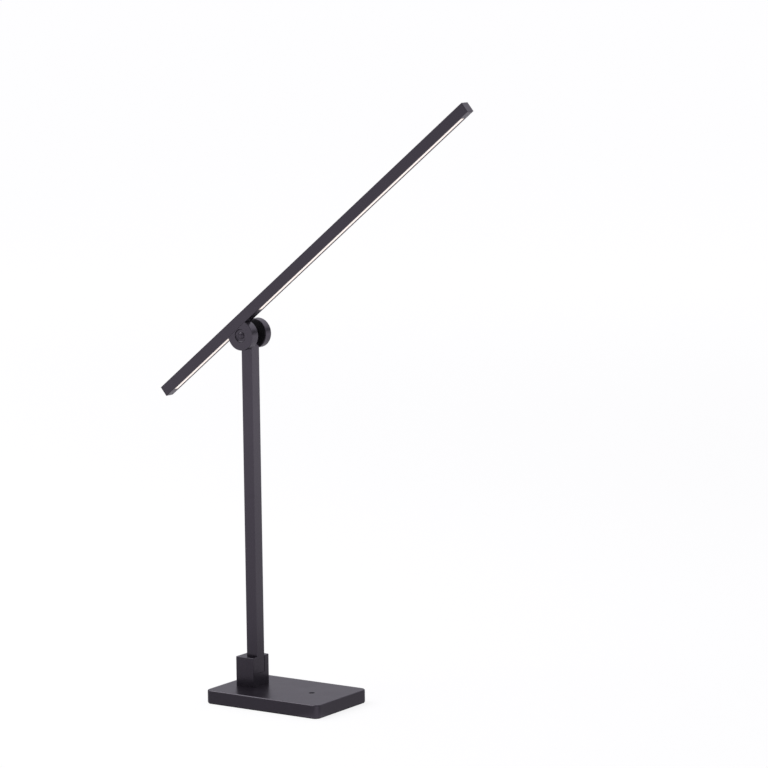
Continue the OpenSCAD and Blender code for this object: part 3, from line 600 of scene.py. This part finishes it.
milled_paint = charcoal("milled_paint", 0.20, 0.27, 0.86)
joints = {joint["name"]: joint for joint in frame["joints"]}
at_fold = Matrix.Translation(joints["post_fold"]["pos_m"]) @ upright
low, high = extent("hinge_block", at_fold)
block_x0, block_x1, cheek_y, block_low, block_top = low[0], high[0], high[1], low[2], high[2]
slot_half, slot_floor, stop_x, heel_sweep_r, sweep_steps = 7.04, -7.1, -7.1, 10.1, 32
pivot_bore_r, washer_r, washer_gap, pocket_y = 3.05, 6.2, 0.05, 7.65
cap_recess_r, cap_recess_y, thread_reach, edge_break = 5.2, cheek_y - 3.4, 4.3, 0.00006
block = bmesh.new()
prism(
    block, at_fold @ Matrix.Translation(((block_x0 + block_x1) / 2, 0, 0)),
    rounded_outline((block_x1 - block_x0) / 2, cheek_y, 0.8),
    rounded_levels(block_low, block_top, 0, 0.5, 3),
)
tools = bmesh.new()
sweep_from = 180 - degrees(asin(slot_floor / heel_sweep_r))
sweep_to = 360 + degrees(asin(slot_floor / heel_sweep_r))
slot_outline = [(stop_x, block_top + 1), (stop_x, slot_floor)]
for i in range(sweep_steps + 1):
    a = radians(sweep_from + (sweep_to - sweep_from) * i / sweep_steps)
    slot_outline.append((max(heel_sweep_r * cos(a), stop_x), heel_sweep_r * sin(a)))
slot_outline += [(block_x1 + 1, slot_floor), (block_x1 + 1, block_top + 1)]
prism(tools, at_fold @ across, slot_outline, [(-slot_half, 0), (slot_half, 0)])
lathe(
    tools, at_fold @ across,
    [
        (pivot_bore_r, -pocket_y), (washer_r + washer_gap, -pocket_y), (washer_r + washer_gap, pocket_y),
        (pivot_bore_r, pocket_y),
    ],
)
lathe(
    tools, at_fold @ across,
    [
        (pivot_bore_r, -pocket_y - thread_reach), (pivot_bore_r, cap_recess_y), (cap_recess_r, cap_recess_y),
        (cap_recess_r, cheek_y - 0.25), (cap_recess_r + 0.3, cheek_y + 0.05), (cap_recess_r + 0.3, cheek_y + 1),
    ],
)
lead_x, lead_hole_r = -5, 1.9
lathe(
    tools, at_fold @ Matrix.Translation((lead_x, 0, 0)),
    [(lead_hole_r, block_low - 1), (lead_hole_r, slot_floor + 0.5)], count=32,
)
block = carve(block, tools)
# The edges that the cutters leave are broken, except at the foot, where the block stands on the base
above_foot = (at_fold @ Vector((0, 0, block_low + 1))).z
long_edges = [
    e for e in block.edges
    if len(e.link_faces) == 2 and e.calc_face_angle() > radians(50) and e.calc_length() > 0.005
    and min(v.co.z for v in e.verts) > above_foot
]
bmesh.ops.bevel(block, geom=long_edges, offset=edge_break, segments=2, profile=0.5, affect="EDGES")
piece("clevis_block", block, "base", "charcoal_paint", milled_paint, "hinge_block")

# ---- Fold hinge ----
# Shoulder bolt through the post's foot into the front cheek, with a bronze friction washer on each side and
# a disc spring under its head that keeps the post where it is put.

cap_low, cap_high = extent("fold_bolt_cap", at_fold)
cap_r, cap_set_in = (cap_high[0] - cap_low[0]) / 2, 0.05
cap = bmesh.new()
lathe(
    cap, at_fold @ across,
    [(cap_r - depth, h) for h, depth in rounded_levels(cap_low[1], cap_high[1] - cap_set_in, 0.1, 0.25)],
)
piece("fold_cap", cap, "base", "black_plastic", black_plastic, "fold_bolt_cap")

bronze = finish(
    "bronze", (0.34, 0.19, 0.075), (0.52, 0.32, 0.14), 0.28, 0.42,
    grain=0.0003, cloud=0.003, relief=0.000008, Metallic=1.0,
)
washer_in, washer_out = 7.05, 7.6
washers = bmesh.new()
for near, far in ((-washer_out, -washer_in), (washer_in, washer_out)):
    lathe(
        washers, at_fold @ across,
        [(pivot_bore_r, near), (washer_r, near), (washer_r, far), (pivot_bore_r, far)], closed=True,
    )
piece("friction_washers", washers, "base", "bronze", bronze, "fold_friction_washers")
for name in ("fold_bolt", "fold_disc_spring"):
    nodes[name].material_slots[0].material = plain_steel

# ---- Post ----
# Square aluminium tube with the same smooth coat as the block. A solid end is pushed into each end of it and
# held by a small screw from behind; the lower one is rounded about the fold pivot, the upper one about the
# tilt pivot.

at_tilt = Matrix.Translation(joints["bar_tilt"]["pos_m"]) @ upright
low, high = extent("post_tube", at_fold)
half_post, seam_low, seam_high, seam_bevel, post_edge_r = high[0], low[2], high[2], 0.2, 0.5
tube_wall, spigot_half, spigot_length = 1.5, 5.4, 20
tube_outline = rounded_outline(half_post, half_post, post_edge_r)
bore_outline = rounded_outline(half_post - tube_wall, half_post - tube_wall, 0.3)
tube = bmesh.new()
skin(
    tube,
    [
        ring(at_fold, tube_outline, h, depth)
        for h, depth in rounded_levels(seam_low, seam_high, seam_bevel, seam_bevel, 2)
    ]
    + [ring(at_fold, bore_outline, seam_high), ring(at_fold, bore_outline, seam_low)],
    closed=True,
)
grub_hole_r = 1.55
tools = bmesh.new()
for h in (seam_low + spigot_length / 2, seam_high - spigot_length / 2):
    lathe(
        tools, at_fold @ Matrix.Translation((0, 0, h)) @ across,
        [
            (grub_hole_r, half_post - 2.5), (grub_hole_r, half_post - 0.15),
            (grub_hole_r + 0.2, half_post + 0.05), (grub_hole_r + 0.2, half_post + 1),
        ],
        count=32,
    )
piece("post_sleeve", carve(tube, tools), "post", "charcoal_paint", milled_paint, "post_tube")


def post_end(place, seam, heel):
    """Solid end of the post: round about its pivot, square at the seam, with a spigot above it. A heel is a
    square corner below the pivot, on the side that the post folds to."""
    bm = bmesh.new()
    rings = []
    for h, depth in rounded_levels(-half_post, half_post, post_edge_r, post_edge_r, 6):
        r = half_post - depth
        top = seam - min(depth, seam_bevel)
        arc = [(r * cos(radians(a)), r * sin(radians(a))) for a in range(180, 271 if heel else 361, 5)]
        corner = [(r - 0.1, -r), (r, 0.1 - r)] if heel else []
        outline = arc + corner + [(r, top), (-r, top)]
        rings.append([place @ across @ Vector((u, v, h)) for u, v in outline])
    skin(bm, rings)
    prism(bm, place, rounded_outline(spigot_half, spigot_half, 0.4), [(seam, 0), (seam + spigot_length, 0)])
    tool = bmesh.new()
    lathe(tool, place @ across, [(pivot_bore_r, -half_post - 1), (pivot_bore_r, half_post + 1)])
    return carve(bm, tool)


piece(
    "post_foot", post_end(at_fold, seam_low, True), "post", "charcoal_paint", milled_paint, "foot_knuckle"
)
head_seam = -(at_tilt.inverted() @ at_fold @ Vector((0, 0, seam_high))).z
head_down = at_tilt @ Matrix.Scale(-1, 4, (0, 0, 1))
piece(
    "post_head", post_end(head_down, head_seam, False),
    "post", "charcoal_paint", milled_paint, "head_knuckle",
)
nodes["post_grub_screws"].material_slots[0].material = plain_steel
nodes["post_lead"].material_slots[0].material = lead_jacket

# ---- Light bar ----
# Square aluminium channel, drawn and powder coated, open below. Two countersunk screws in its top hold the
# front disc, and solid caps with a foot between the channel's lips close its two ends.

drawn_paint = charcoal("drawn_paint", 0.20, 0.27, 0.77)
tilt_rest = 90 + joints["bar_tilt"]["range_deg"][0]
at_bar = (
    Matrix.Translation(joints["bar_tilt"]["pos_m"]) @ Matrix.Rotation(radians(-tilt_rest), 4, "Y") @ upright
)
low, high = extent("bar_channel", at_bar)
channel_x0, channel_x1, bar_front, bar_low, bar_w = low[0], high[0], low[1], low[2], high[2] - low[2]
half_bar = bar_w / 2
in_bar = at_bar @ Matrix.Translation((0, bar_front + half_bar, bar_low)) @ lengthways
lip_h, lip_w, bar_wall, bar_back, bar_r, tip_r, end_bevel, slide = 0.8, 1.3, 1.2, 1.6, 0.5, 0.45, 0.1, 0.1
screw_x, screw_hole_r, screw_head_r = 8, 1.55, 2.85
inner, channel_top = half_bar - bar_wall, bar_w - bar_back
mouth = inner - lip_w
corner_points = 7
square = [(u, v + half_bar) for u, v in rounded_outline(half_bar, half_bar, bar_r, corner_points - 1)]
# The section runs round the outside from the fourth corner to the third, and back through the mouth
outside = square[3 * corner_points:] + square[:3 * corner_points]
section = outside + [
    (-mouth - 0.1, 0), (-mouth, 0.1), (-mouth, lip_h), (-inner, lip_h), (-inner, channel_top),
    (inner, channel_top), (inner, lip_h), (mouth, lip_h), (mouth, 0.1), (mouth + 0.1, 0),
]
channel = bmesh.new()
prism(
    channel, in_bar, section,
    [(channel_x0, end_bevel), (channel_x0 + end_bevel, 0), (channel_x1 - end_bevel, 0), (channel_x1, end_bevel)],
)
tools = bmesh.new()
for x in (-screw_x, screw_x):
    lathe(
        tools, at_bar @ Matrix.Translation((x, bar_front + half_bar, bar_low + bar_w)),
        [
            (screw_hole_r, -bar_back - 1), (screw_hole_r, screw_hole_r - screw_head_r), (screw_head_r, 0),
            (screw_head_r + 1, 1),
        ],
        count=48,
    )
piece("bar_profile", carve(channel, tools), "light_bar", "charcoal_paint", drawn_paint, "bar_channel")
nodes["lug_screws"].material_slots[0].material = plain_steel
nodes["bar_lead"].material_slots[0].material = lead_jacket


def mouth_outline(recess, top):
    """Section of what slides into the channel's mouth: a foot between the lips and wings above them"""
    foot, wing = mouth - slide, inner - slide
    return [
        (-foot, recess), (foot, recess), (foot, lip_h), (wing, lip_h), (wing, top), (-wing, top),
        (-wing, lip_h), (-foot, lip_h),
    ]


windows = {side: extent(f"diffuser_{side}", at_bar) for side in ("long", "short")}
for end, side, seat, limit in (("upper", "long", channel_x1, 1), ("lower", "short", channel_x0, 0)):
    tip, window_end = extent(f"end_cap_{end}", at_bar)[limit][0], windows[side][limit][0]
    outward = 1 if tip > seat else -1
    bm = bmesh.new()
    prism(
        bm, in_bar, square,
        [(outward * h, depth) for h, depth in rounded_levels(outward * seat, outward * tip, end_bevel, tip_r)],
    )
    prism(
        bm, in_bar, mouth_outline(0, channel_top),
        [(seat + outward * 0.5, 0), (window_end + outward * slide, 0)],
    )
    piece(f"cap_{end}", bm, "light_bar", "charcoal_paint", drawn_paint, f"end_cap_{end}")

# ---- Light windows ----
# Opal acrylic strips, pushed in from the ends of the channel, over boards with a row of warm white
# light-emitting packages. The strip glows evenly, a trace brighter over each package.

opal = bpy.data.materials.new("opal_diffuser")
opal.use_nodes = True
tree = opal.node_tree
glow_pitch = 0.010
glow_strength = 0.67
place_on_bar = add(
    tree, "ShaderNodeVectorMath",
    {0: add(tree, "ShaderNodeTexCoord").outputs["Object"], 1: joints["bar_tilt"]["pos_m"]},
    operation="SUBTRACT",
)
run = along(tree, place_on_bar.outputs[0], (cos(radians(tilt_rest)), 0, sin(radians(tilt_rest))))
phase = add(tree, "ShaderNodeMath", {0: run, 1: 2 * pi / glow_pitch}, operation="MULTIPLY")
wave = add(tree, "ShaderNodeMath", {0: phase.outputs[0]}, operation="SINE")
hot = add(tree, "ShaderNodeMath", {0: wave.outputs[0], 1: 0.5, 2: 0.5}, operation="MULTIPLY_ADD")
glow = add(
    tree, "ShaderNodeMix",
    {"Factor": hot.outputs[0], "A": (1.0, 0.85, 0.74, 1), "B": (1.0, 0.89, 0.80, 1)}, data_type="RGBA",
)
haze = add(
    tree, "ShaderNodeGroup",
    {
        "Grain Size": 0.0006, "Cloud Size": 0.01, "Dark": (0.60, 0.58, 0.55, 1), "Light": (0.66, 0.64, 0.61, 1),
        "Smooth": 0.32, "Rough": 0.42,
    },
    node_tree=fine_grain,
).outputs
shader = tree.nodes["Principled BSDF"]
shader.inputs["Emission Strength"].default_value = glow_strength
tree.links.new(haze["Colour"], shader.inputs["Base Color"])
tree.links.new(haze["Roughness"], shader.inputs["Roughness"])
tree.links.new(glow.outputs["Result"], shader.inputs["Emission Color"])
haze_relief = add(tree, "ShaderNodeBump", {"Height": haze["Height"], "Distance": 0.00001})
tree.links.new(haze_relief.outputs[0], shader.inputs["Normal"])
wing_top = lip_h + 1
for side, (low, high) in windows.items():
    bm = bmesh.new()
    prism(bm, in_bar, mouth_outline(low[2] - bar_low, wing_top), [(low[0], 0), (high[0], 0)])
    piece(f"light_window_{side}", bm, "light_bar", "opal_diffuser", opal, f"diffuser_{side}")

white_board = finish(
    "white_board", (0.72, 0.72, 0.70), (0.84, 0.84, 0.82), 0.35, 0.5,
    grain=0.0005, cloud=0.004, relief=0.00001,
)
led_yellow = finish(
    "led_yellow", (0.85, 0.62, 0.14), (0.95, 0.74, 0.24), 0.3, 0.45,
    grain=0.0003, cloud=0.001, relief=0.00001,
)
for side in ("long", "short"):
    nodes[f"led_board_{side}"].material_slots[0].material = white_board
    nodes[f"leds_{side}"].material_slots[0].material = led_yellow

# ---- Front disc of the tilt hinge ----
# Turned disc, powder coated a little coarser than the bar, cut flat to seat against the bar's underside. A
# plate in one piece with it blanks the channel's mouth, two screws through the bar's top hold it, and the
# bolt's head lies in a counterbore in its face.

turned_paint = charcoal("turned_paint", 0.31, 0.38, 1.0)
low, high = extent("bar_lug", at_bar)
disc_r, lug_back, disc_edge_r, disc_steps = -low[2], high[1], 0.6, 96
front_pad_r, pad_gap, pad_seat, blank_gap = extent("tilt_pad_front", at_bar)[1][0], 0.05, 0.45, 0.2
blank_x0, blank_x1 = windows["short"][1][0] + blank_gap, windows["long"][0][0] - blank_gap
at_disc = at_bar @ across
recess_r, recess_depth, recess_fillet = 7.2, 1.8, 1.3
recess_floor = bar_front + recess_depth


def flat_topped(r):
    """Disc of radius r cut off under the bar"""
    start = 180 - degrees(asin(bar_low / r))
    sweep = 540 - 2 * start
    return [
        (r * cos(radians(start + sweep * i / disc_steps)), r * sin(radians(start + sweep * i / disc_steps)))
        for i in range(disc_steps + 1)
    ]


lug = bmesh.new()
skin(
    lug,
    [
        [at_disc @ Vector((u, v, h)) for u, v in flat_topped(disc_r - depth)]
        for h, depth in rounded_levels(bar_front, lug_back, disc_edge_r, disc_edge_r, 3)
    ],
)
tools = bmesh.new()
lathe(
    tools, at_disc,
    [
        (recess_r + 0.5, bar_front - 1), (recess_r + 0.5, bar_front - 0.02),
        (recess_r + 0.15, bar_front + 0.15), (recess_r, bar_front + 0.49),
    ]
    + [
        (recess_r - recess_fillet * (1 - cos(radians(a))), recess_floor - recess_fillet * (1 - sin(radians(a))))
        for a in range(0, 91, 15)
    ]
    + [
        (pivot_bore_r, recess_floor), (pivot_bore_r, lug_back - pad_seat),
        (front_pad_r + pad_gap, lug_back - pad_seat), (front_pad_r + pad_gap, lug_back + 1),
    ],
)
lug = carve(lug, tools)
prism(lug, in_bar, mouth_outline(0, wing_top), [(blank_x0, 0), (blank_x1, 0)])
root, root_half = inner - slide, 13
prism(
    lug, in_bar, [(-root, wing_top), (root, wing_top), (root, channel_top), (-root, channel_top)],
    [(-root_half, 0), (root_half, 0)],
)
piece("front_disc", lug, "light_bar", "charcoal_paint", turned_paint, "bar_lug")

# ---- Tilt bolt and friction pads ----
# Domed bolt, blackened to match the paint, through both discs and the head of the post. A black plastic
# friction pad in each disc bears on the post, so that the bar stays at any angle.

charcoal_steel = finish(
    "charcoal_steel", (0.0060, 0.0044, 0.0075), (0.0085, 0.0062, 0.0104), 0.30, 0.38,
    grain=0.0003, cloud=0.004, relief=0.000008, worn=((0.035, 0.031, 0.039), 0.4),
    Specular_IOR_Level=0.86, Specular_Tint=(0.94, 0.87, 1.0, 1),
)
low, high = extent("tilt_bolt", at_bar)
head_y, end_y, shank_r, head_r, head_h, crown = low[1], high[1], 3, 3.8, 2, 1.2
dome_r = (head_r ** 2 + crown ** 2) / (2 * crown)
dome = [head_r * i / 10 for i in range(1, 10)]
bolt = bmesh.new()
lathe(
    bolt, at_disc,
    [(0.15, head_y)] + [(r, head_y + dome_r - (dome_r ** 2 - r ** 2) ** 0.5) for r in dome]
    + [
        (head_r - 0.12, head_y + crown - 0.06), (head_r, head_y + crown + 0.1), (head_r, head_y + head_h),
        (shank_r, head_y + head_h), (shank_r, end_y - 0.3), (shank_r - 0.3, end_y),
    ],
)
piece("pivot_bolt", bolt, "light_bar", "charcoal_steel", charcoal_steel, "tilt_bolt")
for name, node in (("front_friction_pad", "tilt_pad_front"), ("rear_friction_pad", "tilt_pad_rear")):
    low, high = extent(node, at_bar)
    r, near, far = high[0], low[1], high[1]
    bm = bmesh.new()
    lathe(
        bm, at_disc,
        [
            (pivot_bore_r, near), (r - 0.1, near), (r, near + 0.1), (r, far - 0.1), (r - 0.1, far),
            (pivot_bore_r, far),
        ],
        closed=True,
    )
    piece(name, bm, "light_bar", "black_plastic", black_plastic, node)

# ---- Rear disc ----
# Turned disc behind the post, the twin of the front one. Its counterbore takes the disc springs and the
# lock nut that set the friction, and a plastic cap closes it.

low, high = extent("rear_disc", at_bar)
front_y, back_y, well_r, well_y = low[1], high[1], 8, 11.9
rear_pad_r = extent("tilt_pad_rear", at_bar)[1][0] + pad_gap
rim = [(disc_r - depth, h) for h, depth in rounded_levels(front_y, back_y, disc_edge_r, disc_edge_r, 3)]
rear = bmesh.new()
lathe(
    rear, at_disc,
    [(pivot_bore_r, front_y + pad_seat), (rear_pad_r, front_y + pad_seat), (rear_pad_r, front_y)] + rim
    + [(well_r + 0.25, back_y), (well_r, back_y - 0.25), (well_r, well_y), (pivot_bore_r, well_y)],
    closed=True,
)
piece("rear_disc_body", rear, "light_bar", "charcoal_paint", turned_paint, "rear_disc")
low, high = extent("rear_pivot_cap", at_bar)
cap = bmesh.new()
lathe(
    cap, at_disc,
    [(high[0] - depth, h) for h, depth in rounded_levels(low[1], high[1] - cap_set_in, 0.1, 0.3)],
)
piece("rear_cap", cap, "light_bar", "black_plastic", black_plastic, "rear_pivot_cap")
for name in ("tilt_disc_springs", "tilt_lock_nut"):
    nodes[name].material_slots[0].material = plain_steel
